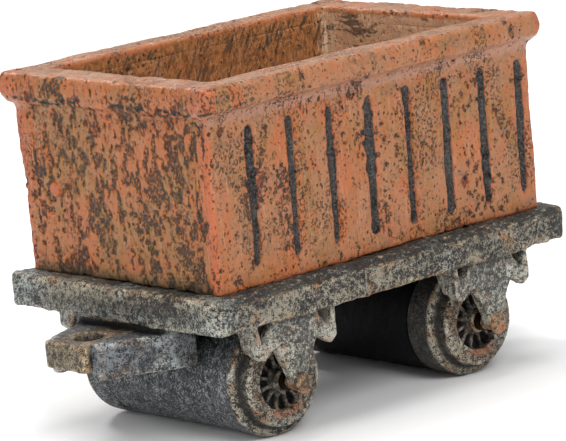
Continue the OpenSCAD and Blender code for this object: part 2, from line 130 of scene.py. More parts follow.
class Grid:
    """Samples on a regular block round some nodes. Distances in millimetres, negative inside."""

    # Samples left free round the nodes
    MARGIN = 3
    # Distances are true up to this far from the surface
    REACH = 3.2
    # Where a bell curve is cut off, in its own widths
    TAIL = 2.5

    def __init__(self, nodes, step):
        corners = [box_mm(n) for n in nodes]
        self.step = step
        self.first = np.floor(np.min([c[0] for c in corners], 0) / step).astype(int) - self.MARGIN
        last = np.ceil(np.max([c[1] for c in corners], 0) / step).astype(int) + self.MARGIN
        self.shape = tuple(last - self.first + 1)
        self.axes = [(self.first[a] + np.arange(self.shape[a])) * step for a in range(3)]
        self.transform = vdb.createLinearTransform(voxelSize=step)
        self.corner = tuple(int(i) for i in self.first)

    def mesh(self):
        """The three coordinates of the samples, ready to broadcast."""
        return np.meshgrid(*[a.astype(np.float32) for a in self.axes], indexing="ij", sparse=True)

    def distance(self, points, triangles, quads=None):
        """The distance from a closed mesh."""
        faces = {"triangles": triangles}
        if quads is not None:
            faces["quads"] = quads
        level = vdb.FloatGrid.createLevelSetFromPolygons(
            points, transform=self.transform, halfWidth=self.REACH / self.step, **faces)
        out = np.empty(self.shape, np.float32)
        level.copyToArray(out, ijk=self.corner)
        return out

    def surface(self, field, level=0.0):
        """Points, triangles and quads where the field has the given level."""
        volume = vdb.FloatGrid(float(field.max()))
        volume.transform = self.transform
        volume.copyFromArray(np.ascontiguousarray(field, np.float32), ijk=self.corner)
        return volume.convertToPolygons(isovalue=level, adaptivity=0.0)

    def blurred(self, field, size):
        """The field averaged with a bell curve whose width is size, in millimetres."""
        reach = max(1, math.ceil(self.TAIL * size / self.step))
        weights = np.exp(-0.5 * (np.arange(-reach, reach + 1) * self.step / size) ** 2)
        weights = (weights / weights.sum()).astype(np.float32)
        for axis in range(3):
            padding = [(reach, reach) if a == axis else (0, 0) for a in range(3)]
            wide = np.pad(field, padding, mode="edge")
            field = np.zeros_like(field)
            for i, weight in enumerate(weights):
                cut = [slice(None)] * 3
                cut[axis] = slice(i, i + field.shape[axis])
                field += weight * wide[tuple(cut)]
        return field

    def lumps(self, rng, size):
        """Smooth random values from -1 to 1, with lumps of the given size along X, Y and Z."""
        weights = []
        for axis, cell in zip(self.axes, np.broadcast_to(size, 3)):
            place = (axis - axis[0]) / cell
            left = place.astype(int)
            t = smooth(place - left, 0, 1)
            weight = np.zeros((len(axis), left[-1] + 2), np.float32)
            weight[np.arange(len(axis)), left] = 1 - t
            weight[np.arange(len(axis)), left + 1] = t
            weights.append(weight)
        values = rng.uniform(-1, 1, [w.shape[1] for w in weights]).astype(np.float32)
        for a, weight in enumerate(weights):
            values = np.moveaxis(np.tensordot(weight, values, axes=(1, a)), 0, a)
        return values

    def at(self, field, points):
        """The field's values at some points, between the samples."""
        place = points / self.step - self.first
        low = np.clip(np.floor(place).astype(int), 0, np.array(self.shape) - 2)
        t = (place - low).astype(np.float32)
        total = np.zeros(len(points), np.float32)
        for corner in np.ndindex(2, 2, 2):
            share = np.prod(np.where(corner, t, 1 - t), axis=1)
            total += share * field[tuple((low + corner).T)]
        return total


class Casting:
    """Nodes that look cast in one. Their joined shape is worn, then cut apart where they meet.
    The nodes that touch them are joined in as well, so that no edge is worn where they meet."""

    # Gaps up to twice this wide are closed where nodes are joined
    JOIN = 0.35
    # The width over which a bulge or a hollow is felt
    FELT = 1.1
    # How far the marks of a knob and of a bubble fade out past their edges
    KNOB_FADE, BUBBLE_FADE = 0.5, 0.3
    # A knob stands this share of its radius out of the face
    KNOB_SHARE = 0.4

    def __init__(self, nodes, seed, step, rounding, touching=(), proud=0.35):
        self.nodes = nodes
        self.proud = proud
        self.rng = np.random.default_rng(seed)
        self.grid = Grid(nodes, step)
        self.solids = {n: self.grid.distance(*triangles_of(n)) for n in [*nodes, *touching]}
        if len(self.solids) == 1:
            self.cad = self.solids[nodes[0]]
        else:
            grown = self.grid.surface(np.minimum.reduce(list(self.solids.values())), self.JOIN)
            self.cad = self.grid.distance(*grown) + self.JOIN
        self.field = self.grid.blurred(self.cad, rounding)
        self.marks = {"pit": np.zeros(self.grid.shape, np.float32)}

    def lumps(self, size):
        return self.grid.lumps(self.rng, size)

    def rounder(self, rounding, share):
        """Rounds more, by a share from 0 to 1 at each sample."""
        self.field += share * (self.grid.blurred(self.cad, rounding) - self.field)

    def dents(self, *layers):
        """Dents and bulges. Each layer is its lumps' size and its height from lowest to highest."""
        for size, depth in layers:
            self.field += 0.5 * depth * self.lumps(size)

    def knob(self, place, radius):
        """A round lump on the front face. The place is its Y and Z; X is found from the face."""
        y, z = (int(round(v / self.grid.step)) - self.grid.first[a] for a, v in enumerate(place, 1))
        x = np.flatnonzero(self.field[:, y, z] < 0)[-1]
        middle = (self.grid.axes[0][x], *place)
        far = np.sqrt(sum((g - m) ** 2 for g, m in zip(self.grid.mesh(), middle)))
        raised = self.field - self.KNOB_SHARE * radius
        self.field = np.minimum(self.field, np.maximum(far - radius, raised))
        self.marks["knob"] = smooth(radius + self.KNOB_FADE - far, 0, self.KNOB_FADE)

    def bubbles(self, count, radii, region=None):
        """Small round holes that air left in the surface."""
        near = np.abs(self.field) < self.grid.step / 2
        if region is not None:
            near &= region
        places = np.argwhere(near)
        for index in self.rng.choice(len(places), count, replace=False):
            radius = self.rng.uniform(*radii)
            reach = math.ceil((radius + 2 * self.BUBBLE_FADE) / self.grid.step)
            low = np.maximum(places[index] - reach, 0)
            block = tuple(slice(a, b) for a, b in zip(low, places[index] + reach + 1))
            centre = [self.grid.axes[a][places[index][a]] for a in range(3)]
            offsets = [self.grid.axes[a][block[a]] - centre[a] for a in range(3)]
            far = np.sqrt(sum(d * d for d in np.meshgrid(*offsets, indexing="ij")))
            self.field[block] = np.maximum(self.field[block], radius - far)
            mark = 1 - smooth(far, 0.5 * radius, radius + self.BUBBLE_FADE)
            self.marks["pit"][block] = np.maximum(self.marks["pit"][block], mark)

    def territory(self, node):
        """Negative on this node's side of the faces where it meets its neighbours."""
        others = [d for n, d in self.solids.items() if n != node]
        return (self.solids[node] - np.minimum.reduce(others)) / 2 if others else None

    def make(self, material, zones=None, overlap=0.0):
        """One closed mesh for each node, with its marks as point attributes. More marks come from
        zones, which takes the points."""
        self.marks["bulge"] = (self.grid.blurred(self.field, self.FELT) - self.field) / self.FELT
        for node in self.nodes:
            own = self.territory(node)
            field = self.field if own is None else np.maximum(self.field, own - overlap)
            points, triangles, quads = self.grid.surface(field)
            lo, hi = box_mm(node)
            lo, hi = np.maximum(lo - self.proud, CAD_LO), np.minimum(hi + self.proud, CAD_HI)
            points = np.clip(points, lo, hi)
            marks = {name: self.grid.at(values, points) for name, values in self.marks.items()}
            if zones:
                marks.update(zones(points))
            shell(node + "_cast", node, points, triangles, quads, marks, material)


def volume_of(points, triangles):
    """The volume inside a closed mesh, negative where its faces point inwards."""
    a, b, c = (points[triangles[:, i]].astype(float) for i in range(3))
    return np.einsum("ij,ij->", a, np.cross(b, c)) / 6


def foot_of(node):
    """How far out the node's lower edge lies."""
    points = triangles_of(node)[0]
    return np.abs(points[points[:, 2] < points[:, 2].min() + 0.1, 1]).max()


def shell(name, node, points, triangles, quads, marks, material):
    """A mesh object that stands for a node."""
    split = np.concatenate([triangles, quads[:, [0, 1, 2]], quads[:, [0, 2, 3]]])
    if volume_of(points, split) < 0:
        triangles, quads = triangles[:, ::-1], quads[:, ::-1]
    mesh = bpy.data.meshes.new(name)
    mesh.vertices.add(len(points))
    mesh.vertices.foreach_set("co", (points / MM).astype(np.float32).ravel())
    corners = np.concatenate([triangles.ravel(), quads.ravel()]).astype(np.int32)
    sizes = np.concatenate([np.full(len(triangles), 3), np.full(len(quads), 4)])
    mesh.loops.add(len(corners))
    mesh.loops.foreach_set("vertex_index", corners)
    mesh.polygons.add(len(sizes))
    mesh.polygons.foreach_set("loop_start", (np.cumsum(sizes) - sizes).astype(np.int32))
    mesh.polygons.foreach_set("use_smooth", np.ones(len(sizes), bool))
    mesh.update(calc_edges=True)
    mesh.validate()
    for mark, values in marks.items():
        attribute = mesh.attributes.new(mark, "FLOAT", "POINT")
        attribute.data.foreach_set("value", np.ascontiguousarray(values, np.float32))
    mesh.materials.append(material)
    piece = bpy.data.objects.new(name, mesh)
    bpy.context.scene.collection.objects.link(piece)
    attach(piece, BODY_OF[node])
    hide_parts(node)


# ---- Procedural paint ----

def srgb(red, green, blue):
    """A colour for a shader socket, from its 0 to 255 screen values."""
    def linear(v):
        v /= 255
        return v / 12.92 if v <= 0.04045 else ((v + 0.055) / 1.055) ** 2.4
    return (linear(red), linear(green), linear(blue), 1.0)


class Paint:
    """One node material. Its lengths are in millimetres on the piece itself."""

    # How far each use of a texture is moved on from the last
    STRIDE = 17.3

    def __init__(self, name):
        self.material = bpy.data.materials.new(name)
        self.material.use_nodes = True
        self.tree = self.material.node_tree
        self.shader = self.tree.nodes["Principled BSDF"]
        coords = self.tree.nodes.new("ShaderNodeTexCoord")
        self.place = self.vector("MULTIPLY", coords.outputs["Object"], (MM, MM, MM))
        self.seed = 0.0

    def feed(self, socket, value):
        if isinstance(value, bpy.types.NodeSocket):
            self.tree.links.new(value, socket)
        else:
            socket.default_value = value

    def vector(self, operation, a, b):
        node = self.tree.nodes.new("ShaderNodeVectorMath")
        node.operation = operation
        self.feed(node.inputs[0], a)
        self.feed(node.inputs[1], b)
        return node.outputs[0]

    def math(self, operation, a, b):
        node = self.tree.nodes.new("ShaderNodeMath")
        node.operation = operation
        self.feed(node.inputs[0], a)
        self.feed(node.inputs[1], b)
        return node.outputs[0]

    def add(self, a, b):
        return self.math("ADD", a, b)

    def times(self, a, b):
        return self.math("MULTIPLY", a, b)

    def larger(self, a, b):
        return self.math("MAXIMUM", a, b)

    def rest_of(self, share):
        return self.math("SUBTRACT", 1.0, share)

    def scaled(self, size, turn=(0, 0, 0)):
        """Coordinates with features of the given size in millimetres, moved on for each use."""
        self.seed += self.STRIDE
        place = self.place
        if any(turn):
            rotate = self.tree.nodes.new("ShaderNodeVectorRotate")
            rotate.rotation_type = "EULER_XYZ"
            self.feed(rotate.inputs["Vector"], place)
            rotate.inputs["Rotation"].default_value = [math.radians(t) for t in turn]
            place = rotate.outputs[0]
        sizes = np.broadcast_to(size, 3)
        shifted = self.vector("ADD", place, (self.seed, -self.seed, 0.7 * self.seed))
        return self.vector("MULTIPLY", shifted, tuple(1 / float(s) for s in sizes))

    def noise(self, size, detail=3.0, rough=0.5, turn=(0, 0, 0)):
        """Cloudy values round 0.5, with features of the given size. The turn is in degrees."""
        node = self.tree.nodes.new("ShaderNodeTexNoise")
        self.feed(node.inputs["Vector"], self.scaled(size, turn))
        node.inputs["Scale"].default_value = 1.0
        node.inputs["Detail"].default_value = detail
        node.inputs["Roughness"].default_value = rough
        return node.outputs[0]

    def specks(self, size, radius, keep):
        """Round spots in a share of cells of the given size. The radius is a share of a cell."""
        node = self.tree.nodes.new("ShaderNodeTexVoronoi")
        self.feed(node.inputs["Vector"], self.scaled(size))
        node.inputs["Scale"].default_value = 1.0
        split = self.tree.nodes.new("ShaderNodeSeparateColor")
        self.feed(split.inputs[0], node.outputs["Color"])
        near = self.step(node.outputs["Distance"], radius, 0.6 * radius)
        return self.times(near, self.step(split.outputs[0], keep + 0.01, keep))

    def mark(self, name):
        """A mark that the casting has left in its points."""
        node = self.tree.nodes.new("ShaderNodeAttribute")
        node.attribute_name = name
        return node.outputs["Fac"]

    def step(self, value, low, high, bottom=0.0, top=1.0):
        """Bottom before low and top after high, with a smooth change between."""
        node = self.tree.nodes.new("ShaderNodeMapRange")
        node.interpolation_type = "SMOOTHSTEP"
        if low > high:
            low, high, bottom, top = high, low, top, bottom
        for socket, given in zip(node.inputs, (value, low, high, bottom, top)):
            self.feed(socket, given)
        return node.outputs[0]

    def mix(self, share, a, b):
        """Colour a where the share is 0, colour b where it is 1."""
        node = self.tree.nodes.new("ShaderNodeMix")
        node.data_type = "RGBA"
        for index, given in ((0, share), (6, a), (7, b)):
            self.feed(node.inputs[index], given)
        return node.outputs[2]

    def done(self, colour, roughness, relief, depth, specular):
        """The finished material. Relief is a height from 0 to 1 over a depth in millimetres."""
        bump = self.tree.nodes.new("ShaderNodeBump")
        bump.inputs["Strength"].default_value = 1.0
        bump.inputs["Distance"].default_value = depth / MM
        self.feed(bump.inputs["Height"], relief)
        self.feed(self.shader.inputs["Normal"], bump.outputs[0])
        self.feed(self.shader.inputs["Base Color"], colour)
        self.feed(self.shader.inputs["Roughness"], roughness)
        self.shader.inputs["Specular IOR Level"].default_value = specular
        return self.material


# The tub's coats, and what shows where they are worn
ORANGE = srgb(176, 97, 43)
TERRACOTTA = srgb(162, 97, 46)
TAN = srgb(150, 102, 49)
FLAME = srgb(186, 86, 38)
SIDE_CLAY = srgb(164, 110, 74)
PINK = srgb(176, 128, 104)
CREST_CLAY = srgb(168, 122, 88)
EDGE_CLAY = srgb(190, 98, 54)
PALE_STROKE = srgb(190, 150, 116)
KNOB_CLAY = srgb(182, 92, 52)
# The tub's inside. Its darker ochre is partly the paint's own colour and partly painted shade
SHADED_OCHRE = srgb(130, 86, 46)
INNER_LIGHT = srgb(182, 118, 68)
INNER_STROKE = srgb(180, 132, 92)
FAR_CLAY = srgb(198, 154, 120)
SLANT_DIRT = srgb(56, 50, 42)
CHALK = srgb(214, 190, 158)
# Dirt and bare dark casting
UMBER = srgb(104, 76, 50)
FOOT_STAIN = srgb(92, 80, 50)
SMUDGE = srgb(112, 90, 70)
CHARCOAL = srgb(24, 22, 21)
ASH = srgb(66, 60, 54)
PITCH = srgb(18, 14, 12)
GROOVE_WALL = srgb(150, 70, 42)
GROOVE_DARK = srgb(27, 25, 25)
GROOVE_PALE = srgb(84, 78, 72)
# Iron coats
# Painted shade: a near-black colour put under the deck, round the wheels' spokes and treads and in
# the pin hole
SHADE_BLACK = srgb(9, 9, 10)
BLOOM = srgb(182, 190, 184)
LEDGE_DARK = srgb(20, 19, 19)
LEDGE_PALE = srgb(46, 44, 42)
# Painted shade for hollows and creases
HOLLOW_SHADE = srgb(22, 21, 22)
RUST = srgb(168, 98, 54)
DRUM_HOLLOW = srgb(18, 18, 21)

# A bubble's dark bottom starts and is complete at these values of its mark
PIT_EDGE = (0.35, 0.75)


def tub_coats(p, patches, mottle, strokes, cloud):
    """The tub's coats of paint, with worn edges and the stain at its foot."""
    colour = p.mix(p.step(patches, 0.42, 0.58), ORANGE, TAN)
    colour = p.mix(p.times(p.step(mottle, 0.42, 0.62), 0.8), colour, TERRACOTTA)
    on_side = p.times(p.mark("side"), p.step(p.noise((8, 8, 14), 3), 0.36, 0.56))
    colour = p.mix(on_side, colour, SIDE_CLAY)
    flame = p.step(p.noise((5, 5, 9), 3), 0.55, 0.68)
    colour = p.mix(p.times(flame, 0.40), colour, FLAME)
    colour = p.mix(p.mark("strip"), colour, FLAME)

    # The inside's darker ochre is partly painted shade
    within = p.mix(p.step(cloud, 0.38, 0.62), SHADED_OCHRE, INNER_LIGHT)
    within = p.mix(p.times(p.step(strokes, 0.50, 0.62), 0.4), within, INNER_STROKE)
    within = p.mix(p.mark("far_end"), within, FAR_CLAY)
    slants = p.step(p.noise((9, 9, 1.3), 4, 0.65, (0, -58, 0)), 0.54, 0.59)
    within = p.mix(p.times(slants, 0.8), within, SLANT_DIRT)
    within = p.mix(p.times(p.mark("nook"), p.step(strokes, 0.48, 0.58)), within, CHALK)
    colour = p.mix(p.mark("inside"), colour, within)

    colour = p.mix(p.mark("cove"), colour, PINK)
    colour = p.mix(p.times(p.mark("crest"), p.step(mottle, 0.6, 0.4)), colour, CREST_CLAY)
    colour = p.mix(p.times(p.step(p.mark("bulge"), 0.10, 0.34), 0.5), colour, EDGE_CLAY)
    colour = p.mix(p.times(p.step(strokes, 0.54, 0.70), 0.35), colour, PALE_STROKE)
    colour = p.mix(p.times(p.step(cloud, 0.46, 0.30), 0.45), colour, UMBER)
    return p.mix(p.mark("foot"), colour, FOOT_STAIN)


def tub_flakes(p):
    """Where dark casting shows through the tub's paint: flakes, specks and round dots."""
    rough_edge = p.times(p.add(p.noise((0.42, 0.42, 0.6), 4, 0.7), -0.5), 2.4)
    islands = p.step(p.noise((0.6, 0.6, 0.8), 3, 0.65), 0.56, 0.50)
    flakes = p.times(p.step(p.add(p.mark("eroded"), rough_edge), 0.42, 0.60), islands)
    kept = p.larger(p.times(p.mark("inside"), 0.75), p.mark("knob"))
    clusters = p.times(p.step(p.mark("speckled"), 0.2, 0.8), p.rest_of(kept))
    specks = p.times(p.step(p.noise((0.6, 0.6, 0.8), 4, 0.6), 0.54, 0.60), clusters)
    dots = p.times(p.specks((1.4, 1.4, 1.8), 0.26, 0.34), p.step(p.noise(6, 2), 0.40, 0.55))
    stray = p.times(p.step(p.noise((0.7, 0.7, 0.8), 3, 0.6), 0.62, 0.66), 0.9)
    dark = p.larger(flakes, p.larger(p.times(specks, 0.85), p.larger(dots, stray)))
    return p.times(dark, p.rest_of(p.mark("knob")))


def tub_paint():
    """Terracotta paint brushed down over dark pits, thin on the edges and stained at the foot."""
    p = Paint("tub_paint")
    patches = p.noise((11, 11, 20), 3)
    mottle = p.noise(3.0, 4, 0.6)
    strokes = p.noise((0.7, 0.7, 9), 4, 0.6)
    grain = p.noise(0.5, 4, 0.65)
    cloud = p.noise((1.2, 1.2, 2.0), 4, 0.65)

    colour = tub_coats(p, patches, mottle, strokes, cloud)
    dark = tub_flakes(p)
    smudge = p.times(p.step(p.noise((5, 5, 3), 4, 0.65), 0.52, 0.66), p.mark("side"))
    colour = p.mix(p.times(smudge, 0.55), colour, SMUDGE)
    colour = p.mix(p.times(p.mark("knob"), 0.8), colour, KNOB_CLAY)
    soot = p.mix(p.step(grain, 0.46, 0.64), CHARCOAL, ASH)
    colour = p.mix(p.times(dark, 0.92), colour, soot)

    wall = p.step(p.mark("groove"), 0.05, 0.25)
    colour = p.mix(p.times(wall, 0.8), colour, GROOVE_WALL)
    bottom = p.step(p.add(p.mark("groove"), p.times(p.add(cloud, -0.5), 1.2)), 0.34, 0.50)
    colour = p.mix(bottom, colour, p.mix(p.step(grain, 0.42, 0.66), GROOVE_DARK, GROOVE_PALE))
    seam = p.step(p.add(p.mark("seam"), p.times(p.add(grain, -0.5), 2.0)), 0.45, 0.70)
    colour = p.mix(seam, colour, soot)
    colour = p.mix(p.step(p.mark("pit"), *PIT_EDGE), colour, PITCH)

    relief = p.add(p.times(grain, 0.45), p.times(strokes, 0.30))
    relief = p.add(relief, p.add(p.times(cloud, 0.6), p.times(dark, -1.0)))
    roughness = p.step(p.add(dark, p.times(p.mark("side"), 0.3)), 0, 1, 0.26, 0.60)
    return p.done(colour, roughness, relief, depth=0.50, specular=0.48)


# The directions of the scratches on a drum, in degrees
SCRATCH_TURNS = ((20, 0, 30), (-35, 10, 0), (60, -20, 15), (5, 40, -50), (80, 15, 70))


def scratched(p, dark, light, line):
    """Blue-black paint with thin pale scratches in all directions."""
    grain = p.noise(0.5, 4, 0.7)
    cloud = p.noise(3.0, 5, 0.7)
    colour = p.mix(p.step(cloud, 0.40, 0.60), dark, light)
    for turn in SCRATCH_TURNS:
        thread = p.noise((0.30, 2.4, 0.5), 3, 0.5, turn)
        scratch = p.times(p.step(thread, 0.57, 0.63), p.step(p.noise(2.5, 2), 0.44, 0.56))
        colour = p.mix(p.times(scratch, 0.75), colour, line)
    colour = p.mix(p.times(p.step(grain, 0.58, 0.68), 0.5), colour, line)
    colour = p.mix(p.times(p.step(grain, 0.47, 0.36), 0.7), colour, DRUM_HOLLOW)
    return colour, grain, cloud


def iron_paint(name, dark, base, light, warm, edging, dusting, drum=None):
    """Dark paint, dry-brushed with pale and rusty colour that catches the grain and edges.
    The dusting is how much of the brushed colour there is, from 0 to 1. A wheel also has the
    three colours of its drum."""
    p = Paint(name)
    patches = p.noise(11, 3)
    grain = p.noise(0.36, 4, 0.7)
    coarse = p.noise(1.3, 4, 0.7)
    bulge = p.mark("bulge")

    colour = p.mix(p.step(p.add(coarse, p.times(grain, 0.4)), 0.58, 0.80), dark, base)
    catch = p.add(grain, p.times(p.add(coarse, -0.5), 0.7))
    catch = p.add(catch, p.times(p.add(patches, -0.5), 0.5))
    dusted = p.times(p.step(catch, 0.46, 0.62), dusting)
    tint = p.mix(p.step(p.noise(5, 3), 0.56, 0.68), light, warm)
    colour = p.mix(dusted, colour, tint)
    edge = p.times(p.step(bulge, 0.06, 0.38), p.step(p.add(grain, coarse), 0.88, 1.18))
    edge_tint = p.mix(p.step(p.noise(4, 2), 0.46, 0.58), edging, warm)
    colour = p.mix(p.times(edge, 0.8), colour, edge_tint)
    ledge = p.times(p.mark("ledge"), p.step(p.noise((2.6, 0.7, 0.7), 4, 0.7), 0.62, 0.50))
    ledge_tint = p.mix(p.step(grain, 0.4, 0.6), LEDGE_DARK, LEDGE_PALE)
    colour = p.mix(p.times(ledge, 0.92), colour, ledge_tint)
    bloomed = p.times(p.mark("bloom"), p.step(p.add(coarse, grain), 0.93, 1.12))
    colour = p.mix(bloomed, colour, BLOOM)
    # Painted shade: hollows and creases are darkened
    hollow = p.step(bulge, -0.04, -0.28)
    colour = p.mix(p.times(hollow, 0.85), colour, HOLLOW_SHADE)
    if drum:
        colour = p.mix(p.mark("body"), colour, scratched(p, *drum)[0])
        colour = p.mix(p.times(p.mark("rust"), p.step(coarse, 0.35, 0.6)), colour, RUST)
    # Painted shade: near black under the deck, round the spokes, on the treads and in the pin hole
    colour = p.mix(p.mark("primer"), colour, SHADE_BLACK)
    colour = p.mix(p.step(p.mark("pit"), *PIT_EDGE), colour, PITCH)

    relief = p.add(p.times(grain, 0.6), p.times(coarse, 0.9))
    roughness = p.step(grain, 0.3, 0.7, 0.66, 0.44)
    return p.done(colour, roughness, relief, depth=0.40, specular=0.42)


def drum_paint(name, specular, colours):
    """The scratched paint of a drum, from its dark, light and scratch colours."""
    p = Paint(name)
    colour, grain, cloud = scratched(p, *colours)
    relief = p.add(grain, p.times(cloud, 0.8))
    return p.done(colour, p.step(grain, 0.3, 0.7, 0.64, 0.42), relief, 0.30, specular)


def metal(name, base, dull, roughness):
    """Turned metal: fine rings of wear and a little tarnish."""
    p = Paint(name)
    tarnish = p.noise(1.1, 4, 0.6)
    lines = p.noise((3, 0.12, 3), 2)
    colour = p.mix(p.step(tarnish, 0.45, 0.7), base, dull)
    p.shader.inputs["Metallic"].default_value = 1.0
    worn = p.step(tarnish, 0.3, 0.7, roughness, roughness + 0.2)
    return p.done(colour, worn, lines, depth=0.02, specular=0.5)


def dowel_wood():
    """Pale wood with grain along the peg and dark pores."""
    p = Paint("dowel_wood")
    grain = p.noise((0.25, 3.0, 3.0), 4, 0.6)
    colour = p.mix(p.step(grain, 0.35, 0.65), srgb(206, 172, 124), srgb(164, 124, 80))
    return p.done(colour, p.step(grain, 0.3, 0.7, 0.6, 0.75), grain, depth=0.03, specular=0.3)


# ---- The tub ----

def bulge_rim(c, ax, ay, z):
    """The rim bulges outwards, most of all at its corners."""
    band = np.exp(-((z - RIM_HI[2] + BULGE_DOWN) / BULGE_HALF) ** 2)
    outer = smooth(np.maximum(ax - RIM_HI[0], ay - RIM_HI[1]), -3.2, -1.2)
    corners = smooth(ax, RIM_HI[0] - 7, RIM_HI[0] - 1) * smooth(ay, RIM_HI[1] - 7, RIM_HI[1] - 1)
    c.field -= band * outer * (BULGE_DEPTH + CORNER_BULGE * corners)


def flake_tub(c, ax, ay, z, outside, at_end):
    """Paint has flaked off in spots, most on the ends but hardly on their outer strips."""
    clusters = c.lumps((6, 6, 13)) + 0.6 * c.lumps((2.6, 2.6, 6))
    streaks = 1.2 * c.lumps((0.85, 0.85, 1.3))
    streaks = streaks + 0.8 * c.lumps((1.4, 1.4, 3.6)) * (0.5 + 0.5 * at_end)
    strip = at_end * smooth(ay, FLOOR_HI[1] + 1.2, FLOOR_HI[1] + 2.2)
    bias = np.where(outside, -0.36, -0.6) + 0.54 * at_end - 0.5 * strip
    on_rim = 0.3 * smooth(ax, RIM_HI[0] - 3, RIM_HI[0] - 1.5)
    bias += on_rim * smooth(z, RIM_LO[2] + 1, RIM_LO[2] + 3)
    bias += 0.12 * at_end * smooth(z, RIM_LO[2] - 18, RIM_LO[2] - 4)
    c.marks["eroded"] = smooth(streaks + 0.6 * clusters + bias, 0.1, 0.8)
    c.marks["speckled"] = smooth(c.lumps((6, 6, 16)) + 0.5 * c.lumps((3, 3, 5)), -0.1, 0.6)
    c.field += FLAKE_DEPTH * c.marks["eroded"]


def scratch_seams(c, ax, ay, z, at_end):
    """Broken scratched lines on the ends: one under the rim, and one along each side's edge."""
    under_rim = RIM_HI[2] - RIM_FACE
    under_rim = under_rim + 0.9 * c.lumps((EVEN, 3.4, EVEN)) + 0.5 * c.lumps((EVEN, 1.2, EVEN))
    line = np.exp(-((z - under_rim + 0.6) / 0.5) ** 2) * smooth(ax, END_HI[0] - 1, END_HI[0])
    line = line * smooth(c.lumps((EVEN, 2.6, 2.6)), -0.35, 0.25)
    wander = 0.9 * c.lumps((EVEN, EVEN, 4))
    butt = np.exp(-((ay - FLOOR_HI[1] - 0.2 + wander) / 0.6) ** 2) * at_end
    butt = butt * smooth(c.lumps((EVEN, 2.5, 2.5)), -0.1, 0.5)
    c.marks["seam"] = np.maximum(line, butt)
    c.field += SEAM_DEPTH * c.marks["seam"]


def tub_zones(points):
    """Marks for the parts of the tub that are painted differently."""
    px, py, pz = points.T
    ax, ay = np.abs(px), np.abs(py)
    within_x = smooth(FLOOR_HI[0] + 0.6 - ax, 0, 0.5)
    within = within_x * smooth(FLOOR_HI[1] + 0.6 - ay, 0, 0.5)
    on_side = smooth(ay, FLOOR_HI[1] + 2, FLOOR_HI[1] + 4)
    # The side panel's outer face leans out from its foot
    foot = foot_of("tub_side_left")
    face = foot + (SIDE_HI[1] - foot) * (pz - FLOOR_LO[2]) / (SIDE_HI[2] - FLOOR_LO[2])
    cove = smooth(pz, RIM_LO[2] - 1.5, RIM_LO[2] + 0.5)
    cove = cove * (1 - smooth(pz, RIM_LO[2] + 2, RIM_LO[2] + 4))
    panel = smooth(ay, FLOOR_HI[1] + 2, FLOOR_HI[1] + 3) * smooth(END_HI[0] - 2.0 - ax, 0, 0.5)
    nook = smooth(ax, FLOOR_HI[0] - 5, FLOOR_HI[0] - 1)
    strip = smooth(ax, END_HI[0] - 1.5, END_HI[0])
    return {
        "inside": within * smooth(RIM_HI[2] - 1.2 - pz, 0, 0.8),
        "far_end": 0.95 * smooth(ax, FLOOR_HI[0] - 3, FLOOR_HI[0] - 0.5),
        "nook": nook * smooth(ay, FLOOR_HI[1] - 6, FLOOR_HI[1] - 1),
        "side": 0.7 * on_side,
        "strip": 0.6 * strip * smooth(ay, FLOOR_HI[1] + 2.0, FLOOR_HI[1] + 3.2),
        "cove": 0.75 * on_side * cove * (1 - within),
        "crest": 0.8 * smooth(pz, RIM_HI[2] - 1.5, RIM_HI[2] - 0.5),
        "foot": 0.8 * (1 - smooth(pz, DECK_HI[2] + 1, DECK_HI[2] + 4)) * (1 - on_side),
        "groove": smooth(face - ay, 0.35, 1.0) * panel * smooth(RIM_LO[2] - 1 - pz, 0, 1),
    }


def tub(material):
    """Side and end panels, floor and rim: one hand-carved casting, cut where the panels meet."""
    nodes = ["tub_side_left", "tub_side_right", "tub_end_front", "tub_end_rear",
             "tub_floor", "tub_rim"]
    dowels = ["corner_dowels", "rim_dowels"]
    c = Casting(nodes, seed=11, step=0.42, rounding=0.36, touching=dowels, proud=0.9)
    x, y, z = c.grid.mesh()
    ax, ay = np.abs(x), np.abs(y)
    c.rounder(rounding=0.8, share=0.6 * smooth(z, RIM_LO[2] + 1, RIM_LO[2] + 4))
    bulge_rim(c, ax, ay, z)
    c.dents(*TUB_DENTS)
    outside = (ax > END_HI[0] - 1.2) | (ay > FLOOR_HI[1] + 3)
    at_end = smooth(ax, END_HI[0] - 2, END_HI[0]) * smooth(-z, -RIM_HI[2], -RIM_LO[2])
    flake_tub(c, ax, ay, z, outside, at_end)
    scratch_seams(c, ax, ay, z, at_end)
    c.knob((KNOB_Y, DECK_HI[2] + KNOB_UP), KNOB_R)
    c.bubbles(TUB_BUBBLES, TUB_BUBBLE, outside)
    c.make(material, tub_zones, TUB_OVERLAP)


# ---- The iron castings ----

# How each kind of casting is worked out: the seed of its first piece, the step between samples,
# the rounding of its edges, and its layers of dents with the size and height of their lumps.
# Lengths are in millimetres.
WEAR = {
    "deck": (21, 0.46, 0.6, [(12, 0.5), (3.2, 0.45), (1.3, 0.36)]),
    "casting": (31, 0.32, 0.5, [(7, 0.3), (2, 0.2), (0.9, 0.1)]),
    "tongue": (41, 0.3, 0.5, [(5, 0.35), (1.6, 0.2), (0.8, 0.1)]),
    "drum": (51, 0.44, 0.3, [(7, 0.2), (2.5, 0.12)]),
    "guard": (61, 0.25, 0.32, [(4, 0.2), (1.4, 0.16), (0.7, 0.1)]),
    "box": (71, 0.22, 0.34, [(2, 0.2), (0.9, 0.12)]),
    "wheel": (81, 0.27, 0.3, [(5, 0.16), (1.8, 0.14), (0.8, 0.1)]),
}


def cast_one(node, kind, number, material, touching, bubbles=0, bloom=0.0, zones=None, shape=None):
    """A single cast node with rounded edges, dents and patches of pale bloom. The number counts
    the pieces of its kind."""
    seed, step, rounding, layers = WEAR[kind]
    c = Casting([node], seed + number, step, rounding, touching)
    if shape:
        shape(c)
    c.dents(*layers)
    c.bubbles(bubbles, IRON_BUBBLE)
    patch = c.lumps(9) + 0.5 * c.lumps(3)
    c.marks["bloom"] = bloom * smooth(patch, 0.2, 0.9) + c.marks.get("bloom", 0)
    c.make(material, zones)


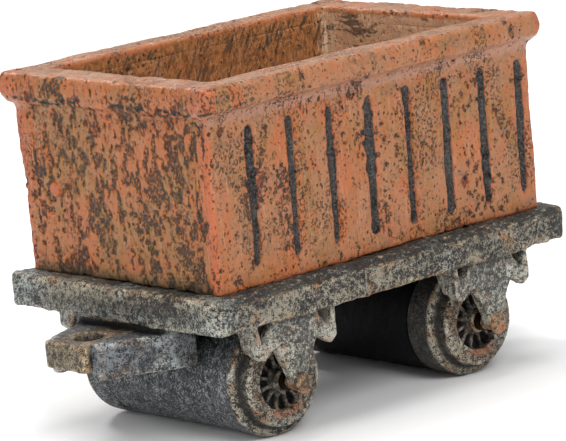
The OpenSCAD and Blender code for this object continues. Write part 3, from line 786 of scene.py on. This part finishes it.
def deck_shape(c):
    """The deck's upper edge is chipped unevenly, and pale bloom gathers at its front corners."""
    x, y, z = c.grid.mesh()
    ay = np.abs(y)
    chips = 0.7 * c.lumps((6, 4, 4)) + 0.45 * c.lumps((1.6, 1.2, 1.2))
    for out, depth in ((ay - DECK_HI[1], 2.1), (np.abs(x) - DECK_HI[0], 0.9)):
        c.field = np.maximum(c.field, (out + z - DECK_HI[2] + depth + chips) / math.sqrt(2))
    corner = smooth(x, DECK_HI[0] - 10, DECK_HI[0] - 2)
    corner = corner * smooth(ay, DECK_HI[1] - 16, DECK_HI[1] - 4)
    foot = smooth(x, DECK_HI[0] - 4, DECK_HI[0]) * smooth(-z, -DECK_LO[2] - 5, -DECK_LO[2] - 1)
    c.marks["bloom"] = 0.45 * corner + 0.3 * foot


def deck_zones(points):
    """The ledge beside the tub is dark. The lower part of each end is darker, and the underside's
    middle is near black: both are painted shade."""
    px, py, pz = np.abs(points).T
    beside = smooth(pz, DECK_HI[2] - 2.4, DECK_HI[2] - 1.5) * smooth(DECK_HI[0] - px, 0.5, 3)
    before = smooth(pz, DECK_HI[2] - 1.2, DECK_HI[2] - 0.6) * smooth(DECK_HI[0] - px, 2.0, 4.5)
    # The lower part of each end is darkened: painted shade
    low = smooth(pz, DECK_LO[2] + 0.6, DECK_LO[2] + 1.8)
    low = low * (1 - smooth(pz, DECK_HI[2] - 4.4, DECK_HI[2] - 2.6))
    low = 0.5 * low * smooth(px, DECK_HI[0] - 2.4, DECK_HI[0] - 1.2)
    low = low * (1 - smooth(py, DECK_HI[1] - 8, DECK_HI[1] - 2))
    middle = smooth(DECK_HI[0] - px, 5, 12) * smooth(DECK_HI[1] - py, 4, 9)
    return {
        "primer": middle * smooth(DECK_LO[2] + 4 - pz, 0, 3.5),
        "ledge": np.maximum(np.where(py > SIDE_HI[1] - 1.5, beside, 0.75 * before), low),
    }


def in_pin_hole(points):
    """The pin hole in a coupling tongue is darkened: painted shade."""
    radius = np.hypot(np.abs(points[:, 0]) - CAD_HI[0] + PIN_SET, points[:, 1])
    return {"primer": 0.55 * smooth(PIN_R + 0.45 - radius, 0, 0.4)}


def on_wheel(node):
    """A wheel is darkened round its spokes and on its tread as painted shade. Behind the flange it
    is painted as the drum is."""
    lo, hi = box_mm(node)
    centre, face = (lo + hi) / 2, max(abs(lo[1]), abs(hi[1]))
    reach = RECESS_SHARE * (hi[2] - lo[2]) / 2

    def zones(points):
        radius = np.hypot(points[:, 0] - centre[0], points[:, 2] - centre[2])
        depth = face - np.abs(points[:, 1])
        tread = smooth(depth, 1.2, 1.9) * smooth(4.1 - depth, 0, 0.5)
        tread = tread * smooth(radius, reach + 2, reach + 3.2)
        recess = smooth(depth, 1.2, 3.2) * smooth(reach - radius, -0.3, 0.3)
        low = smooth(centre[2] - points[:, 2], reach - 1.5, reach + 0.5)
        low = low * smooth(1.6 - depth, 0, 0.5)
        return {
            "primer": np.maximum(0.85 * recess, 0.6 * tread),
            "body": smooth(depth, 4.9, 5.5),
            "rust": 0.7 * low * smooth(reach + 2.4 - radius, 0, 1.2),
        }
    return zones


def paint_node(node, material):
    """Gives a CAD node that stays as it is a finish of its own."""
    mesh = NODES[node].data
    mesh.materials.clear()
    mesh.materials.append(material)


# Dark, light and scratch colours of the drums, and of the rear wheels behind their flanges. The
# rear colours are near black: painted shade under the deck
FRONT_DRUM = (srgb(20, 21, 24), srgb(54, 56, 60), srgb(156, 160, 162))
REAR_DRUM_SHADE = (srgb(3, 3, 4), srgb(9, 9, 11), srgb(24, 25, 27))
REAR_BODY_SHADE = (srgb(24, 22, 20), srgb(48, 45, 41), srgb(110, 104, 94))
# Dark, base, light, warm and edge colours of each iron paint
BONE = srgb(196, 190, 172)
IRON = (srgb(15, 14, 15), srgb(54, 51, 48), srgb(152, 144, 126), srgb(162, 124, 82),
        srgb(206, 190, 160))
GUARD = (srgb(58, 57, 53), srgb(100, 98, 92), srgb(184, 180, 166), srgb(168, 126, 88), BONE)
CAST = (srgb(34, 35, 37), srgb(68, 70, 73), srgb(128, 132, 135), srgb(132, 108, 84),
        srgb(196, 200, 196))
WORN = (srgb(38, 33, 26), srgb(88, 75, 55), srgb(152, 138, 112), srgb(162, 116, 76),
        srgb(214, 190, 152))
BOX = (srgb(58, 46, 36), srgb(104, 82, 62), srgb(158, 138, 112), srgb(176, 106, 60),
       srgb(196, 150, 108))
WHEEL = (srgb(22, 20, 19), srgb(68, 63, 56), srgb(172, 162, 142), srgb(160, 118, 82), BONE)
# Near-black paint for the pieces under the deck: painted shade
UNDERSIDE_SHADE = (SHADE_BLACK, srgb(12, 12, 13), srgb(24, 24, 25), srgb(26, 24, 21), SHADE_BLACK)

IRON_PAINT = iron_paint("iron_paint", *IRON, dusting=0.9)
GUARD_PAINT = iron_paint("guard_paint", *GUARD, dusting=0.95)
CAST_PAINT = iron_paint("cast_paint", *CAST, dusting=0.8)
WORN_PAINT = iron_paint("worn_paint", *WORN, dusting=0.95)
BOX_PAINT = iron_paint("box_paint", *BOX, dusting=0.9)
# The rear wheels and drum take darker copies of the paint: painted shade under the deck
WHEEL_PAINT = {
    "front": iron_paint("wheel_paint", *WHEEL, dusting=0.95, drum=FRONT_DRUM),
    "rear": iron_paint("wheel_paint_rear_shaded", *WHEEL, dusting=0.75, drum=REAR_BODY_SHADE),
}
DRUM_PAINT = {
    "front": drum_paint("drum_paint", 0.35, FRONT_DRUM),
    "rear": drum_paint("drum_paint_rear_shaded", 0.08, REAR_DRUM_SHADE),
}
# The finishes of the nodes that keep their CAD shape, by material slot
FINISHES = {
    "steel": metal("steel", srgb(110, 110, 110), srgb(66, 64, 62), roughness=0.38),
    "brass": metal("brass", srgb(44, 38, 30), srgb(30, 27, 24), roughness=0.55),
    "dowel_wood": dowel_wood(),
    # The underside pieces are near black: painted shade
    "deck_paint": iron_paint("underside_shade_paint", *UNDERSIDE_SHADE, dusting=0.4),
}

tub(tub_paint())
under_deck = [f"axle_guard_{end}_{side}" for end in ENDS for side in SIDES]
under_deck += ["deck_plate", "sill_left", "sill_right", "guard_screws", "tub_bolts"]
under_deck += [f"{kind}_{end}" for kind in ("draw_casting", "draw_bolts") for end in ENDS]
cast_one("deck_frame", "deck", 0, IRON_PAINT, under_deck, bubbles=60, bloom=0.45,
         zones=deck_zones, shape=deck_shape)
for e, end in enumerate(ENDS):
    casting, tongue, drum = f"draw_casting_{end}", f"coupling_tongue_{end}", f"drum_{end}"
    axle, dowels, bolts = f"axle_{end}", f"drum_dowels_{end}", f"draw_bolts_{end}"
    wheels = [f"wheel_{end}_{side}" for side in SIDES]
    cast_one(casting, "casting", e, CAST_PAINT, ["deck_frame", tongue, bolts],
             bubbles=6, bloom=0.5)
    cast_one(tongue, "tongue", e, WORN_PAINT, [casting, bolts],
             bubbles=8, bloom=0.1, zones=in_pin_hole)
    cast_one(drum, "drum", e, DRUM_PAINT[end], [*wheels, axle, dowels])
    for s, (side, wheel) in enumerate(zip(SIDES, wheels)):
        guard, box, bush = (f"axle_{kind}_{end}_{side}" for kind in ("guard", "box", "bush"))
        corner = 2 * e + s
        cast_one(guard, "guard", corner, GUARD_PAINT, ["deck_frame", "guard_screws", box],
                 bubbles=6, bloom=0.3)
        cast_one(box, "box", corner, BOX_PAINT, [guard, bush])
        cast_one(wheel, "wheel", corner, WHEEL_PAINT[end], [drum, axle, dowels],
                 bubbles=8, bloom=0.2, zones=on_wheel(wheel))

for node_name, node_object in NODES.items():
    if not node_object.hide_render:
        paint_node(node_name, FINISHES[SLOT_OF[node_name]])


# ---- Camera, floor and light ----

# The camera's direction from the cart and its roll in degrees, its target in millimetres, and
# its distance in metres
AZIMUTH, ELEVATION, ROLL = 139.45, 11.27, -5.65
TARGET = (0, -1.6, 45.2)
DISTANCE = 0.9738
LENS = 239.8
# Soft lights: where each stands, its width in metres and its power in watts
LIGHTS = {
    "key": ((0.25, 0.85, 0.75), 0.5, 6.0),
    "top": ((0.05, 0.0, 1.2), 0.9, 9.0),
    "fill": ((0.95, 0.1, 0.45), 0.5, 1.6),
    "back": ((-0.2, -0.9, 0.8), 0.24, 5.5),
}
# The point that the lights face
LIT = (0, 0, 0.04)
SKY_STRENGTH = 0.5
FLOOR_REACH = 3.0


def look(back, target, distance, roll):
    """The world matrix of a camera or light that looks at the target from the back direction."""
    place = target + back * distance
    turn = (-back).to_track_quat("-Z", "Y").to_matrix().to_4x4()
    return Matrix.Translation(place) @ turn @ Matrix.Rotation(roll, 4, "Z")


def add_camera():
    azimuth, elevation = math.radians(AZIMUTH), math.radians(ELEVATION)
    level = math.cos(elevation)
    back = Vector((math.sin(azimuth) * level, -math.cos(azimuth) * level, math.sin(elevation)))
    data = bpy.data.cameras.new("camera")
    data.lens = LENS
    data.clip_start = 0.05
    camera = bpy.data.objects.new("camera", data)
    bpy.context.scene.collection.objects.link(camera)
    camera.matrix_world = look(back, Vector(TARGET) / MM, DISTANCE, math.radians(ROLL))
    bpy.context.scene.camera = camera


def add_light(name, place, size, power):
    data = bpy.data.lights.new(name, "AREA")
    data.size = size
    data.energy = power
    light = bpy.data.objects.new(name, data)
    bpy.context.scene.collection.objects.link(light)
    back = Vector(place).normalized()
    light.matrix_world = look(back, Vector(LIT), Vector(place).length, 0)


def add_floor():
    reach = FLOOR_REACH
    corners = [(-reach, -reach, 0), (reach, -reach, 0), (reach, reach, 0), (-reach, reach, 0)]
    mesh = bpy.data.meshes.new("studio_floor")
    mesh.from_pydata(corners, [], [(0, 1, 2, 3)])
    p = Paint("studio_floor")
    colour = p.mix(p.noise(400, 2), srgb(246, 246, 246), srgb(250, 250, 250))
    p.done(colour, 0.9, p.noise(30, 2), depth=0.02, specular=0.1)
    mesh.materials.append(p.material)
    floor = bpy.data.objects.new("studio_floor", mesh)
    bpy.context.scene.collection.objects.link(floor)


def add_world():
    world = bpy.data.worlds.new("studio")
    world.use_nodes = True
    background = world.node_tree.nodes["Background"]
    background.inputs["Color"].default_value = (1, 1, 1, 1)
    background.inputs["Strength"].default_value = SKY_STRENGTH
    bpy.context.scene.world = world


add_camera()
add_floor()
add_world()
for light_name, (light_place, light_size, light_power) in LIGHTS.items():
    add_light(light_name, light_place, light_size, light_power)
bpy.context.scene.view_settings.view_transform = "Standard"
